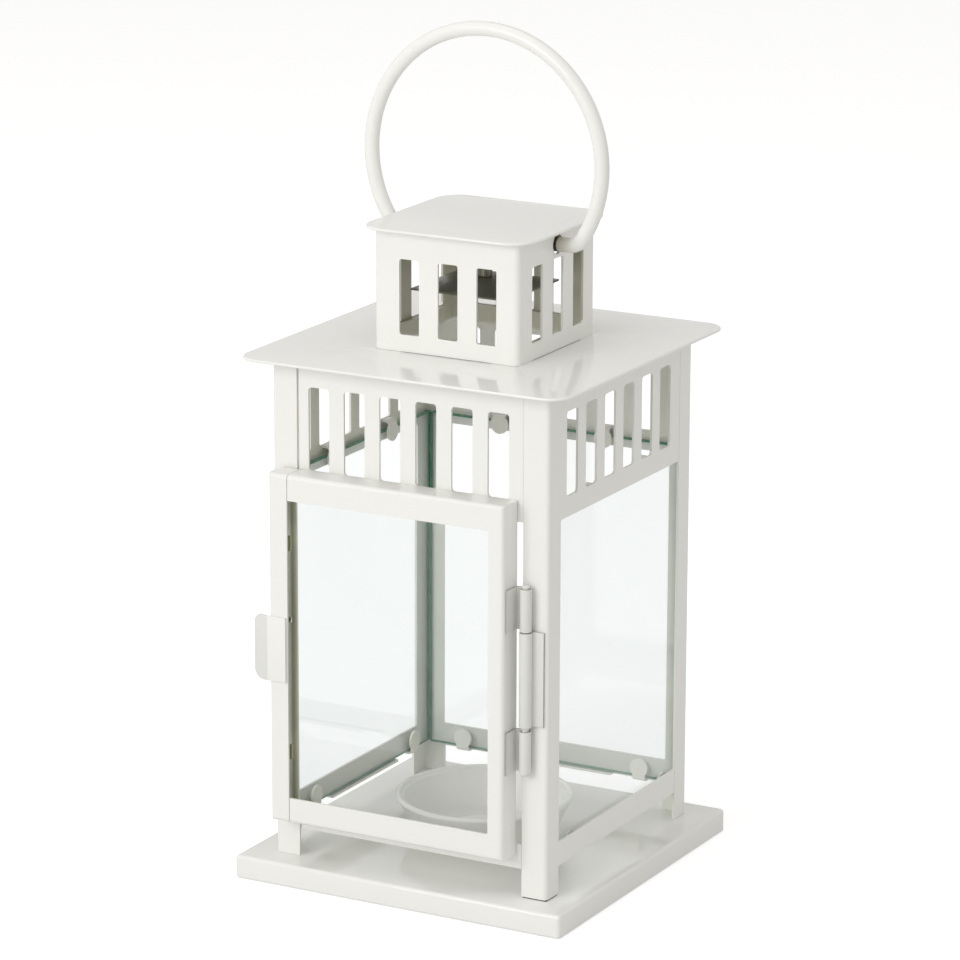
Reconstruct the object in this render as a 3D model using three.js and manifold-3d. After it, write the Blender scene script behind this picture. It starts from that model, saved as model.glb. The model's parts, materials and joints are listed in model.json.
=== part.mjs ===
// A square lantern of white painted sheet steel for a block candle, with a slotted band under its roof,
// a slotted chimney turret, three fixed panes, a glazed door on a knuckle hinge and a ring handle.
// Millimetres, +Z up. The origin is the middle of the base's underside, and the door faces -Y.
import * as THREE from "three";
import { mergeVertices } from "three/addons/utils/BufferGeometryUtils.js";
import Module from "manifold-3d";

const wasm = await Module();
wasm.setup();

// Sheet metal and clearances
const sheet = 0.8; // wall of the folded panels, the turret and the door
const plate = 1.0; // wall of the base, the roof and the cap
const bend = 1.5; // outer radius of a fold
const coat = 0.05; // room for paint between two pieces that lie together
const running = 0.3; // room round what turns
const seam = 0.2; // gap between two edges that butt together

// Base pan
const baseSide = 120;
const baseHeight = 7.6;
const baseCorner = 1.4;
const baseEdge = 1.2; // radius of its top edge
const baseInnerEdge = 0.2; // the same inside the pan

// Candle cup
const cupFootRadius = 23;
const cupMouthRadius = 27.4;
const cupHeight = 14.4;
const cupBead = 0.9; // radius of the rolled rim
const cupWall = 0.8;

// Body shell
const bodySide = 100.2;
const bodyHeight = 166.4;
const frontPost = 9.05; // width of a front corner post on the front face
const sidePost = 8.1; // its width on the side face
const backWrap = 8.9; // what the back panel covers of each side face
const backStile = 8.4; // its uprights on the back face
const railGap = 9.6; // open height under the bottom rails
const railHeight = 8.1;
const bandHeight = 42.2; // slotted band under the roof
const windowCorner = 0.6;

// Slots of the band
const bandSlots = 6;
const bandSlotWidth = 7.6;
const bandSlotPitch = 13;
const bandSlotHeight = 27.5;
const bandSlotDrop = 8; // from the roof down to the slots
const bandSlotCorner = 1.1;
const frontSlotShift = -0.4; // shifts of the rows from the middle
const rightSlotShift = -2;
const leftSlotShift = 1.3;

// Panes and the tongues that hold them
const pane = 2;
const paneRoom = 0.3; // room on each side of a pane
const paneBelowSlots = 3.1;
const tongueNeck = 4.6;
const tongueHead = 3.3; // radius of its round end
const tongueDrop = 4.1; // from the slots down to the head's centre
const tongueRise = 4.6; // from the rail's lower edge up to the head's centre
const railTongueReach = 33; // from the middle of a rail to each of its tongues
const railTongueShift = 3.5; // shift of a side rail's tongues to the back
const ledgeLength = 44; // fold under the middle of a rail, which the pane stands on
const ledgeOverhang = 0.4;
const topTongueSlots = [1, 4]; // the second and the fifth slot carry a tongue

// Roof, turret and cap
const roofSide = 118;
const roofCorner = 8;
const collarHeight = 5.4; // edges of the roof's hole, turned up inside the turret
const collarLength = 33; // of each turned edge, in the middle of its side
const collarRoom = 0.5; // from a turned edge to the turret's wall
const turretSide = 52.5;
const turretHeight = 39.2;
const turretFlange = 2.4; // in-turned edge at its top
const turretSlots = 3;
const turretSlotWidth = 7.15;
const turretSlotPitch = 14;
const turretSlotHeight = 24.7;
const turretSlotDrop = 9; // from the cap down to the slots
const turretSlotCorner = 0.7;
const turretFrontShift = 0.7; // shifts of its rows from the middle
const turretSideShift = 0.4;
const capSide = 60.8;
const capCorner = 9;
const plateEdge = 0.25; // softened edge of the roof and the cap

// Heat shield under the cap
const shieldSide = 35.2;
const shieldRise = 2.6; // height of its crown over its rim
const shieldSheet = 0.6;
const shieldDrop = 21; // from the cap down to its rim
const spacerRadius = 2.4;
const rivetRadius = 1.4;
const rivetHead = 2.8;
const rivetHeadHeight = 0.9;

// Ring handle
const handleRod = 4.8; // diameter of the rod
const handleRing = 41.85; // radius of the ring's centre line
const handleRise = 25.2; // from the pivots up to the ring's centre
const handleBend = 5; // radius where the ring turns in to the pivots
const handleInside = 2.8; // how far its ends reach past the turret's wall
const pivotDrop = 4.55; // from the cap down to the pivots
const pivotRoom = 0.45; // play of its ends in the turret's holes

// Door
const doorLeftLap = 5.45; // how far it covers the left post
const doorRightGap = 2; // from its edge to the right post
const doorTopLap = 7; // how far it covers the slotted band
const doorBottomLap = 3.4; // how far it covers the bottom rail
const doorDepth = 8.3; // depth of its flanges
const doorGap = 1.05; // from its flanges to the body
const doorStile = 7.1; // free stile
const doorHingeStile = 5.35;
const doorRail = 8.5;
const doorPaneLap = 2.6; // how far its pane reaches behind the frame
const doorTab = 5; // width of the tabs behind its pane
const doorTabReach = 2.2; // how far they reach over the pane
const stileTabPlaces = [-0.3, 0.3]; // on the free stile, as shares of the door's height

// Latch plate and catch on the door's free side
const latchHeight = 21.7;
const latchSheet = 0.9;
const latchCentre = 80.4; // height over the ground
const latchFlat = 7.5;
const latchWing = 5.1; // bent finger plate beside the flat
const latchLean = 20; // degrees that it is bent back
const latchCorner = 3;
const latchInset = 0.5; // from the stile's inner edge
const catchRadius = 1;
const catchHeight = 88;
const catchFromPostEdge = 3.2; // from the post's inner edge
const catchDepth = 0.6; // how far it enters the post's hole

// Hinge
const pinRadius = 1.15;
const pinHeadRadius = 1.9;
const pinHeadHeight = 1;
const bodyKnuckleRadius = 2.4;
const doorKnuckleRadius = 2.15;
const bodyKnuckleLength = 31.2;
const doorKnuckleLength = 14;
const hingeCentre = 81.4; // height of the body knuckle's middle
const hingeLowerGap = 1.3; // play under the body knuckle
const hingeFromPostEdge = 2.5; // from the right post's edge to the pin
const bodyLeafWidth = 4.4;
const bodyLeafSheet = 1;
const doorLeafWidth = 3.8;
const leafSheet = 0.8;

// Flats that make up a curve
const foldFlats = 3;
const cornerFlats = 4;
const plateCornerFlats = 8;
const roundFlats = 20;
const cupFlats = 40;

// Heights and half sides that follow from them
const bodyHalf = bodySide / 2;
const bodyFoot = baseHeight + coat;
const railBottom = baseHeight + railGap;
const railTop = railBottom + railHeight;
const bodyTop = baseHeight + bodyHeight;
const bandBottom = bodyTop - bandHeight;
const bandSlotTop = bodyTop - bandSlotDrop;
const bandSlotBottom = bandSlotTop - bandSlotHeight;
const bodyInside = bodyHalf - sheet;
const backSeam = bodyHalf - backWrap;
const postEdge = bodyHalf - frontPost;
const roofBottom = bodyTop + coat;
const roofTop = roofBottom + plate;
const turretHalf = turretSide / 2;
const turretFoot = roofTop + coat;
const turretTop = turretFoot + turretHeight;
const capBottom = turretTop + coat;
const turretSlotTop = turretTop - turretSlotDrop;
const turretSlotBottom = turretSlotTop - turretSlotHeight;
const pivotHeight = turretTop - pivotDrop;
const paneOutside = bodyInside - paneRoom;
const paneInside = paneOutside - pane;
const tongueReach = sheet + paneRoom + pane + paneRoom + sheet; // from the panel's face to the tongue's
const paneBottom = railBottom + sheet + paneRoom;
const paneTop = bandSlotBottom - paneBelowSlots;

const doorLeft = -postEdge - doorLeftLap;
const doorRight = postEdge - doorRightGap;
const doorTop = bandBottom + doorTopLap;
const doorBottom = railTop - doorBottomLap;
const doorBack = -bodyHalf - doorGap;
const doorFront = doorBack - doorDepth;
const doorMiddleHeight = (doorTop + doorBottom) / 2;
const stileSeam = doorLeft + doorStile;
const doorPaneFront = doorFront + sheet + paneRoom;
const doorPaneBack = doorPaneFront + pane;
const doorPaneLeft = stileSeam - doorPaneLap;
const doorPaneRight = doorRight - doorHingeStile + doorPaneLap;
const doorPaneBottom = doorBottom + doorRail - doorPaneLap;
const doorPaneTop = doorTop - doorRail + doorPaneLap;

const knuckleBore = pinRadius + running;
const hingeX = postEdge + hingeFromPostEdge;
const hingeY = -bodyHalf - bodyKnuckleRadius - running;
const bodyKnuckleTop = hingeCentre + bodyKnuckleLength / 2;
const bodyKnuckleBottom = hingeCentre - bodyKnuckleLength / 2;
const upperLeafBottom = bodyKnuckleTop + running;
const upperLeafTop = upperLeafBottom + doorKnuckleLength;
const lowerLeafTop = bodyKnuckleBottom - hingeLowerGap;
const lowerLeafBottom = lowerLeafTop - doorKnuckleLength;

const paint = new THREE.MeshStandardMaterial({ color: 0xf1f1ec, roughness: 0.38, metalness: 0.05 });
const darkSteel = new THREE.MeshStandardMaterial({ color: 0x5b5c58, roughness: 0.3, metalness: 0.9 });
const bareSteel = new THREE.MeshStandardMaterial({ color: 0xb9b9b2, roughness: 0.35, metalness: 0.85 });
const clearGlass = new THREE.MeshStandardMaterial({
  color: 0xdfeee8,
  roughness: 0.05,
  metalness: 0,
  transparent: true,
  opacity: 0.3,
});

// Booleans work on solids; a closed geometry becomes one once its shared vertices are merged.
function solidOf(geometry) {
  const bare = geometry.clone();
  bare.deleteAttribute("normal");
  bare.deleteAttribute("uv");
  const merged = mergeVertices(bare, 1e-4);
  return new wasm.Manifold(
    new wasm.Mesh({
      numProp: 3,
      vertProperties: merged.attributes.position.array,
      triVerts: new Uint32Array(merged.index.array),
    }),
  );
}

function geometryOf(solid) {
  const { vertProperties, triVerts, numProp } = solid.getMesh();
  const positions = new Float32Array((vertProperties.length / numProp) * 3);
  for (let i = 0; i < positions.length / 3; i++)
    positions.set(vertProperties.subarray(i * numProp, i * numProp + 3), i * 3);
  const geometry = new THREE.BufferGeometry()
    .setAttribute("position", new THREE.BufferAttribute(positions, 3))
    .setIndex(new THREE.BufferAttribute(triVerts, 1))
    .toNonIndexed();
  geometry.computeVertexNormals();
  return geometry;
}

function meshOf(name, solid, material) {
  const mesh = new THREE.Mesh(geometryOf(solid), material);
  mesh.name = name;
  return mesh;
}

// Outlines are drawn in X, Y for a prism along z; in X, Z for one along y; and in Y, Z for one along x.
const drawnOnFront = new THREE.Matrix4().makeBasis(
  new THREE.Vector3(1, 0, 0),
  new THREE.Vector3(0, 0, 1),
  new THREE.Vector3(0, -1, 0),
);
const drawnOnSide = new THREE.Matrix4().makeBasis(
  new THREE.Vector3(0, 1, 0),
  new THREE.Vector3(0, 0, 1),
  new THREE.Vector3(1, 0, 0),
);

function prism(shape, axis, low, high, flats = cornerFlats) {
  const geometry = new THREE.ExtrudeGeometry(shape, {
    depth: high - low,
    bevelEnabled: false,
    curveSegments: flats / 2, // an arc is given twice as many
  });
  if (axis === "x") geometry.applyMatrix4(drawnOnSide).translate(low, 0, 0);
  if (axis === "y") geometry.applyMatrix4(drawnOnFront).translate(0, high, 0);
  if (axis === "z") geometry.translate(0, 0, low);
  return solidOf(geometry);
}

function rectangle(left, right, low, high, corner = 0) {
  const shape = new THREE.Shape();
  if (corner === 0) {
    shape.setFromPoints([
      new THREE.Vector2(left, low),
      new THREE.Vector2(right, low),
      new THREE.Vector2(right, high),
      new THREE.Vector2(left, high),
    ]);
    return shape;
  }
  shape.moveTo(left + corner, low);
  shape.lineTo(right - corner, low);
  shape.absarc(right - corner, low + corner, corner, -Math.PI / 2, 0);
  shape.lineTo(right, high - corner);
  shape.absarc(right - corner, high - corner, corner, 0, Math.PI / 2);
  shape.lineTo(left + corner, high);
  shape.absarc(left + corner, high - corner, corner, Math.PI / 2, Math.PI);
  shape.lineTo(left, low + corner);
  shape.absarc(left + corner, low + corner, corner, Math.PI, Math.PI * 1.5);
  return shape;
}

const square = (half, corner = 0) => rectangle(-half, half, -half, half, corner);

function disc(x, y, radius) {
  const shape = new THREE.Shape();
  shape.absarc(x, y, radius, 0, Math.PI * 2);
  return shape;
}

// Section of a sheet folded along a path: the path runs on one face and the metal lies on its left.
function folded(path, thickness = sheet, outerRadius = bend) {
  const corners = path.map(([x, y]) => new THREE.Vector2(x, y));
  const near = [];
  const far = [];
  corners.forEach((here, i) => {
    const before = i > 0 ? here.clone().sub(corners[i - 1]).normalize() : null;
    const after = i < corners.length - 1 ? corners[i + 1].clone().sub(here).normalize() : null;
    if (!before || !after) {
      const along = before ?? after;
      const left = new THREE.Vector2(-along.y, along.x);
      near.push(here);
      far.push(here.clone().addScaledVector(left, thickness));
      return;
    }
    const turn = Math.atan2(before.cross(after), before.dot(after));
    const side = Math.sign(turn);
    const radius = side > 0 ? outerRadius : outerRadius - thickness;
    const start = here.clone().addScaledVector(before, -radius * Math.tan(Math.abs(turn) / 2));
    const left = new THREE.Vector2(-before.y, before.x);
    const centre = start.clone().addScaledVector(left, side * radius);
    for (let step = 0; step <= foldFlats; step++) {
      const normal = left.clone().rotateAround(new THREE.Vector2(), (turn * step) / foldFlats);
      near.push(centre.clone().addScaledVector(normal, -side * radius));
      far.push(centre.clone().addScaledVector(normal, thickness - side * radius));
    }
  });
  return new THREE.Shape([...near, ...far.reverse()]);
}

// A profile of radius and height, turned about the upright axis.
function standing(profile, segments) {
  return new THREE.LatheGeometry(profile, segments).rotateX(Math.PI / 2);
}

// A row of upright slots through the walls that cross the axis between low and high.
function slotRow({ count, pitch, width, bottom, top, corner, shift = 0 }, axis, low, high) {
  const cuts = [];
  for (let i = 0; i < count; i++) {
    const middle = shift + (i - (count - 1) / 2) * pitch;
    const outline = rectangle(middle - width / 2, middle + width / 2, bottom, top, corner);
    cuts.push(prism(outline, axis, low, high));
  }
  return cuts;
}

const cutAll = (solid, cuts) => cuts.reduce((left, cut) => left.subtract(cut), solid);
const joinAll = (solids) => solids.reduce((joined, next) => joined.add(next));

const bandRow = {
  count: bandSlots,
  pitch: bandSlotPitch,
  width: bandSlotWidth,
  bottom: bandSlotBottom,
  top: bandSlotTop,
  corner: bandSlotCorner,
};

// Tongues and ledges of a panel, in its section: the first coordinate is the distance from the middle.
const topTongueSection = folded([
  [bodyHalf, bandBottom],
  [bodyHalf, bandSlotBottom],
  [bodyHalf - tongueReach, bandSlotBottom],
  [bodyHalf - tongueReach, bandSlotBottom - tongueDrop - tongueHead],
]);
const railTongueSection = folded([
  [bodyHalf - tongueReach, railBottom + tongueRise + tongueHead],
  [bodyHalf - tongueReach, railBottom],
  [bodyHalf, railBottom],
  [bodyHalf, railTop],
]);
const ledgeSection = folded([
  [bodyHalf - sheet - paneRoom - pane - ledgeOverhang, railBottom],
  [bodyHalf, railBottom],
  [bodyHalf, railTop],
]);

const crossing = { x: "y", y: "x" };

// A tongue with a round head, cut from the panel that faces along the axis.
function tongue(axis, at, section, headHeight, rootHeight) {
  const low = Math.min(headHeight, rootHeight);
  const high = Math.max(headHeight, rootHeight);
  const from = bodyHalf - tongueReach - sheet;
  const to = bodyHalf + sheet;
  const neck = prism(rectangle(at - tongueNeck / 2, at + tongueNeck / 2, low, high), axis, from, to);
  const head = prism(disc(at, headHeight, tongueHead), axis, from, to, roundFlats);
  const strip = prism(section, crossing[axis], at - tongueHead, at + tongueHead);
  return strip.intersect(neck.add(head));
}

function paneHolders(axis, slotShift, railShift) {
  const pieces = topTongueSlots.map((slot) => {
    const at = slotShift + (slot - (bandSlots - 1) / 2) * bandSlotPitch;
    return tongue(axis, at, topTongueSection, bandSlotBottom - tongueDrop, bandSlotBottom + sheet);
  });
  for (const end of [-1, 1]) {
    const at = railShift + end * railTongueReach;
    pieces.push(tongue(axis, at, railTongueSection, railBottom + tongueRise, railBottom - sheet));
  }
  pieces.push(
    prism(ledgeSection, crossing[axis], railShift - ledgeLength / 2, railShift + ledgeLength / 2),
  );
  return pieces;
}

// Side panel, drawn for the right side: its front edge is folded round the corner into a post,
// and its band and rail run back to the back panel's edge, so its window is open to the back.
function sidePanel({ slotShift, catchHole }) {
  const section = folded([
    [postEdge, -bodyHalf],
    [bodyHalf, -bodyHalf],
    [bodyHalf, backSeam - seam / 2],
  ]);
  const beyond = bodyHalf + sheet;
  const inward = bodyHalf - 2 * sheet;
  const front = sidePost - bodyHalf;
  const cuts = [
    prism(rectangle(front, bodyHalf, railTop, bandBottom, windowCorner), "x", inward, beyond),
    prism(rectangle(front, bodyHalf, 0, railBottom), "x", inward, beyond),
    ...slotRow({ ...bandRow, shift: slotShift }, "x", inward, beyond),
  ];
  if (catchHole) {
    const hole = disc(postEdge + catchFromPostEdge, catchHeight, catchRadius + running);
    cuts.push(prism(hole, "y", -beyond, -inward, roundFlats));
  }
  const wall = cutAll(prism(section, "z", bodyFoot, bodyTop), cuts);
  return joinAll([wall, ...paneHolders("x", slotShift, railTongueShift)]);
}

// Back panel, folded round both back corners.
function backPanel() {
  const section = folded([
    [bodyHalf, backSeam + seam / 2],
    [bodyHalf, bodyHalf],
    [-bodyHalf, bodyHalf],
    [-bodyHalf, backSeam + seam / 2],
  ]);
  const beyond = bodyHalf + sheet;
  const inward = bodyHalf - 2 * sheet;
  const opening = bodyHalf - backStile;
  const cuts = [
    prism(rectangle(-opening, opening, railTop, bandBottom, windowCorner), "y", inward, beyond),
    prism(rectangle(-opening, opening, 0, railBottom), "y", inward, beyond),
    ...slotRow(bandRow, "y", inward, beyond),
  ];
  const wall = cutAll(prism(section, "z", bodyFoot, bodyTop), cuts);
  return joinAll([wall, ...paneHolders("y", 0, 0)]);
}

// The front's band and bottom rail lie flush with the posts, and their stepped ends lap behind them.
const lapWidth = 5;
const lapStep = 0.6;
function frontStrip(low, high) {
  const lapFace = -bodyInside + coat;
  const flush = postEdge - seam - lapStep;
  const section = folded(
    [
      [-postEdge - lapWidth, lapFace],
      [-flush - lapStep, lapFace],
      [-flush, -bodyHalf],
      [flush, -bodyHalf],
      [flush + lapStep, lapFace],
      [postEdge + lapWidth, lapFace],
    ],
    sheet,
    sheet + 0.1,
  );
  return prism(section, "z", low, high);
}

function frontUpperPanel() {
  const strip = frontStrip(bandBottom, bodyTop);
  const row = { ...bandRow, shift: frontSlotShift };
  return cutAll(strip, slotRow(row, "y", -bodyHalf - sheet, -bodyHalf + 2 * sheet));
}

// A plate with soft edges all round.
function softPlate(half, corner, bottom, top, edge) {
  const geometry = new THREE.ExtrudeGeometry(square(half - edge, corner - edge), {
    depth: top - bottom - 2 * edge,
    bevelThickness: edge,
    bevelSize: edge,
    bevelSegments: 2,
    curveSegments: plateCornerFlats / 2,
  }).translate(0, 0, bottom + edge);
  return solidOf(geometry);
}

// Base: an upside-down pan, its skirt on the ground.
function basePlate() {
  const pan = (half, corner, top, edge) =>
    softPlate(half, corner, -edge, top, edge).intersect(prism(square(baseSide), "z", 0, baseHeight));
  const hollow = softPlate(
    baseSide / 2 - plate,
    baseCorner - plate,
    -baseHeight,
    baseHeight - plate,
    baseInnerEdge,
  );
  return pan(baseSide / 2, baseCorner, baseHeight, baseEdge).subtract(hollow);
}

// Pressed candle cup with a rolled rim, standing on the base.
function candleCup() {
  const floor = baseHeight + coat;
  const rim = baseHeight + cupHeight;
  const beadCentre = new THREE.Vector2(cupMouthRadius + cupBead - cupWall / 2, rim - cupBead);
  const outline = [
    new THREE.Vector2(0, floor),
    new THREE.Vector2(cupFootRadius - 1.2, floor),
    new THREE.Vector2(cupFootRadius - 0.3, floor + 0.4),
    new THREE.Vector2(cupFootRadius, floor + 1.2),
    new THREE.Vector2(cupMouthRadius - 0.3, beadCentre.y - cupBead * 0.9),
  ];
  const beadSteps = 6;
  for (let i = 0; i <= beadSteps; i++) {
    const angle = THREE.MathUtils.lerp(-Math.PI * 0.45, Math.PI * 0.85, i / beadSteps);
    outline.push(
      new THREE.Vector2(
        beadCentre.x + cupBead * Math.cos(angle),
        beadCentre.y + cupBead * Math.sin(angle),
      ),
    );
  }
  outline.push(new THREE.Vector2(cupFootRadius - cupWall, floor + cupWall + 1.4));
  outline.push(new THREE.Vector2(cupFootRadius - cupWall - 0.5, floor + cupWall + 0.4));
  outline.push(new THREE.Vector2(cupFootRadius - cupWall - 1.5, floor + cupWall));
  outline.push(new THREE.Vector2(0, floor + cupWall));
  return solidOf(standing(outline, cupFlats));
}

// Roof: the warm air's square hole lies under the turret, whose foot stands round the hole's turned-up edges.
function roofPlate() {
  const top = softPlate(roofSide / 2, roofCorner, roofBottom, roofTop, plateEdge);
  const holeHalf = turretHalf - sheet / 2;
  const hole = prism(square(holeHalf), "z", roofBottom - plate, roofTop + plate);
  const collarInside = turretHalf - sheet - collarRoom - plate;
  const section = folded(
    [
      [collarInside, roofTop + collarHeight],
      [collarInside, roofBottom],
      [holeHalf + plate, roofBottom],
    ],
    plate,
    plate + collarRoom,
  );
  const edges = ["x", "y"].flatMap((axis) => {
    const edge = prism(section, axis, -collarLength / 2, collarLength / 2);
    return [edge, edge.mirror(axis === "x" ? [0, 1, 0] : [1, 0, 0])];
  });
  return joinAll([top.subtract(hole), ...edges]);
}

// Turret: a square folded tube with an in-turned edge at its top.
function turret() {
  const outside = square(turretHalf, bend + 0.5);
  outside.holes.push(square(turretHalf - sheet, bend + 0.5 - sheet));
  const tube = prism(outside, "z", turretFoot, turretTop);
  const ring = square(turretHalf - sheet / 2, bend);
  ring.holes.push(square(turretHalf - sheet - turretFlange, bend));
  const top = prism(ring, "z", turretTop - sheet, turretTop);
  const row = {
    count: turretSlots,
    pitch: turretSlotPitch,
    width: turretSlotWidth,
    bottom: turretSlotBottom,
    top: turretSlotTop,
    corner: turretSlotCorner,
  };
  const pivots = disc(0, pivotHeight, handleRod / 2 + pivotRoom);
  return cutAll(joinAll([tube, top]), [
    ...slotRow({ ...row, shift: turretSideShift }, "x", -turretSide, turretSide),
    ...slotRow({ ...row, shift: turretFrontShift }, "y", -turretSide, turretSide),
    prism(pivots, "x", -turretSide, turretSide, roundFlats),
  ]);
}

// Heat shield: a square sheet with a level rim and a pressed crown, riveted under the cap.
const shieldRim = capBottom - shieldDrop;
const shieldCells = 12;
function heatShield() {
  const half = shieldSide / 2;
  const crown = (x, y) => shieldRise * (1 - (x / half) ** 2) * (1 - (y / half) ** 2);
  const row = shieldCells + 1;
  const positions = [];
  for (const face of [shieldSheet, 0])
    for (let j = 0; j < row; j++)
      for (let i = 0; i < row; i++) {
        const x = THREE.MathUtils.lerp(-half, half, i / shieldCells);
        const y = THREE.MathUtils.lerp(-half, half, j / shieldCells);
        positions.push(x, y, shieldRim + crown(x, y) + face);
      }
  const indices = [];
  const under = row * row;
  const quad = (a, b, c, d) => indices.push(a, b, c, a, c, d);
  for (let j = 0; j < shieldCells; j++)
    for (let i = 0; i < shieldCells; i++) {
      const a = j * row + i;
      quad(a, a + 1, a + row + 1, a + row);
      quad(under + a, under + a + row, under + a + row + 1, under + a + 1);
    }
  for (let i = 0; i < shieldCells; i++) {
    const back = shieldCells * row + i;
    const left = i * row;
    const right = left + shieldCells;
    quad(under + i, under + i + 1, i + 1, i);
    quad(back, back + 1, under + back + 1, under + back);
    quad(left, left + row, under + left + row, under + left);
    quad(under + right, under + right + row, right + row, right);
  }
  const geometry = new THREE.BufferGeometry()
    .setAttribute("position", new THREE.Float32BufferAttribute(positions, 3))
    .setIndex(indices);
  const hole = disc(0, 0, rivetRadius + coat);
  return solidOf(geometry).subtract(prism(hole, "z", shieldRim, capBottom, roundFlats));
}

function shieldRivet() {
  const top = capBottom - coat;
  const crownTop = shieldRim + shieldRise + shieldSheet;
  const crownUnder = crownTop - shieldSheet;
  const profile = [
    [0, crownUnder - rivetHeadHeight - coat],
    [rivetHead * 0.7, crownUnder - rivetHeadHeight - coat],
    [rivetHead, crownUnder - rivetHeadHeight / 2 - coat],
    [rivetHead, crownUnder - 0.3],
    [rivetRadius, crownUnder - 0.3],
    [rivetRadius, crownTop + coat],
    [spacerRadius, crownTop + coat],
    [spacerRadius, top],
    [0, top],
  ].map(([radius, height]) => new THREE.Vector2(radius, height));
  return solidOf(standing(profile, roundFlats));
}

// Handle: a round rod bent to an open ring, its ends turned in to the pivots.
function carryHandle() {
  const ringCentre = pivotHeight + handleRise;
  const bendHeight = pivotHeight + handleBend;
  const bendX = Math.sqrt((handleRing - handleBend) ** 2 - (handleRise - handleBend) ** 2);
  const meet = Math.atan2(bendHeight - ringCentre, bendX);
  const half = [
    [turretHalf - sheet - handleInside, pivotHeight],
    [turretHalf, pivotHeight],
  ];
  const bendSteps = 5;
  for (let i = 0; i < bendSteps; i++) {
    const angle = THREE.MathUtils.lerp(-Math.PI / 2, meet, i / bendSteps);
    half.push([bendX + handleBend * Math.cos(angle), bendHeight + handleBend * Math.sin(angle)]);
  }
  const ringSteps = 18;
  for (let i = 0; i < ringSteps; i++) {
    const angle = THREE.MathUtils.lerp(meet, Math.PI / 2, i / ringSteps);
    half.push([handleRing * Math.cos(angle), ringCentre + handleRing * Math.sin(angle)]);
  }
  const right = half.map(([x, z]) => new THREE.Vector3(x, 0, z));
  const left = half.map(([x, z]) => new THREE.Vector3(-x, 0, z)).reverse();
  const top = new THREE.Vector3(0, 0, ringCentre + handleRing);
  const route = new THREE.CatmullRomCurve3([...right, top, ...left]);
  route.getUtoTmapping = (share) => share; // one step from each chosen point to the next
  const geometry = new THREE.ExtrudeGeometry(disc(0, 0, handleRod / 2), {
    steps: right.length * 2,
    extrudePath: route,
    curveSegments: roundFlats / 2,
  });
  return solidOf(geometry);
}

// Fixed panes: the side ones run the whole depth, and the back one fits between them.
function fixedPane(axis, half) {
  const outline = rectangle(-half, half, paneBottom, paneTop, windowCorner);
  return prism(outline, axis, paneInside, paneOutside, 2);
}

// Door: a shallow tray of sheet, open at the back, with soft front edges.
const doorFrontInside = doorFront + sheet;
const windowBottom = doorBottom + doorRail;
const windowTop = doorTop - doorRail;
function doorTray() {
  const box = (inset, back) => {
    const deep = back + bend;
    const across = rectangle(doorLeft + inset, doorRight - inset, doorFront + inset, deep, bend - inset);
    const upright = rectangle(doorFront + inset, deep, doorBottom + inset, doorTop - inset, bend - inset);
    return prism(across, "z", doorBottom, doorTop).intersect(prism(upright, "x", doorLeft, doorRight));
  };
  const body = box(0, doorBack).intersect(
    prism(rectangle(doorLeft, doorRight, doorBottom, doorTop), "y", doorFront, doorBack),
  );
  return body.subtract(box(sheet, doorBack + bend));
}

// Tabs cut from a flange's back edge and folded in behind the pane; the flange keeps a notch for each.
const tabFace = doorPaneBack + paneRoom + sheet;
function withPaneTabs(solid, flange, inward, heights) {
  const tip = inward > 0 ? doorPaneLeft + doorTabReach : doorPaneRight - doorTabReach;
  const root = flange + (inward * sheet) / 2;
  const tab = rectangle(Math.min(root, tip), Math.max(root, tip), tabFace - sheet, tabFace);
  return heights.reduce((left, at) => {
    const low = at - doorTab / 2;
    const high = at + doorTab / 2;
    const notch = rectangle(tabFace, doorBack + sheet, low - seam, high + seam);
    return left
      .subtract(prism(notch, "x", flange - 2 * sheet, flange + 2 * sheet))
      .add(prism(tab, "z", low, high));
  }, solid);
}

// The door's rails and right stile are one sheet, and tongues of its rails lie behind the left stile.
function doorFrame() {
  const beyond = doorRight + sheet;
  const kept = rectangle(stileSeam + seam / 2, beyond, doorFront - sheet, doorBack + sheet);
  const window = rectangle(doorLeft, doorRight - doorHingeStile, windowBottom, windowTop, windowCorner);
  const frame = doorTray()
    .intersect(prism(kept, "z", doorBottom - sheet, doorTop + sheet))
    .subtract(prism(window, "y", doorFront - sheet, doorFront + 2 * sheet));
  const lap = new THREE.Shape(
    [
      [doorLeft + 2 * bend, doorFrontInside + coat],
      [stileSeam + seam, doorFrontInside + coat],
      [stileSeam + seam, doorFront + sheet / 2],
      [stileSeam + doorStile, doorFront + sheet / 2],
      [stileSeam + doorStile, doorFrontInside + sheet],
      [doorLeft + 2 * bend, doorFrontInside + sheet],
    ].map(([x, y]) => new THREE.Vector2(x, y)),
  );
  const laps = [
    prism(lap, "z", doorBottom + bend + seam, doorPaneBottom - seam),
    prism(lap, "z", doorPaneTop + seam, doorTop - bend - seam),
  ];
  const tabHeights = [upperLeafBottom, lowerLeafBottom].map((bottom) => bottom + doorKnuckleLength / 2);
  return withPaneTabs(joinAll([frame, ...laps]), doorRight, -1, tabHeights);
}

function doorLeftStile() {
  const kept = rectangle(doorLeft - sheet, stileSeam - seam / 2, doorFront - sheet, doorBack + sheet);
  const stile = doorTray().intersect(prism(kept, "z", doorBottom - sheet, doorTop + sheet));
  const tabHeights = stileTabPlaces.map((place) => doorMiddleHeight + place * (doorTop - doorBottom));
  return withPaneTabs(stile, doorLeft, 1, tabHeights);
}

function doorPane() {
  const outline = rectangle(doorPaneLeft, doorPaneRight, doorPaneBottom, doorPaneTop, windowCorner);
  return prism(outline, "y", doorPaneFront, doorPaneBack, 2);
}

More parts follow.
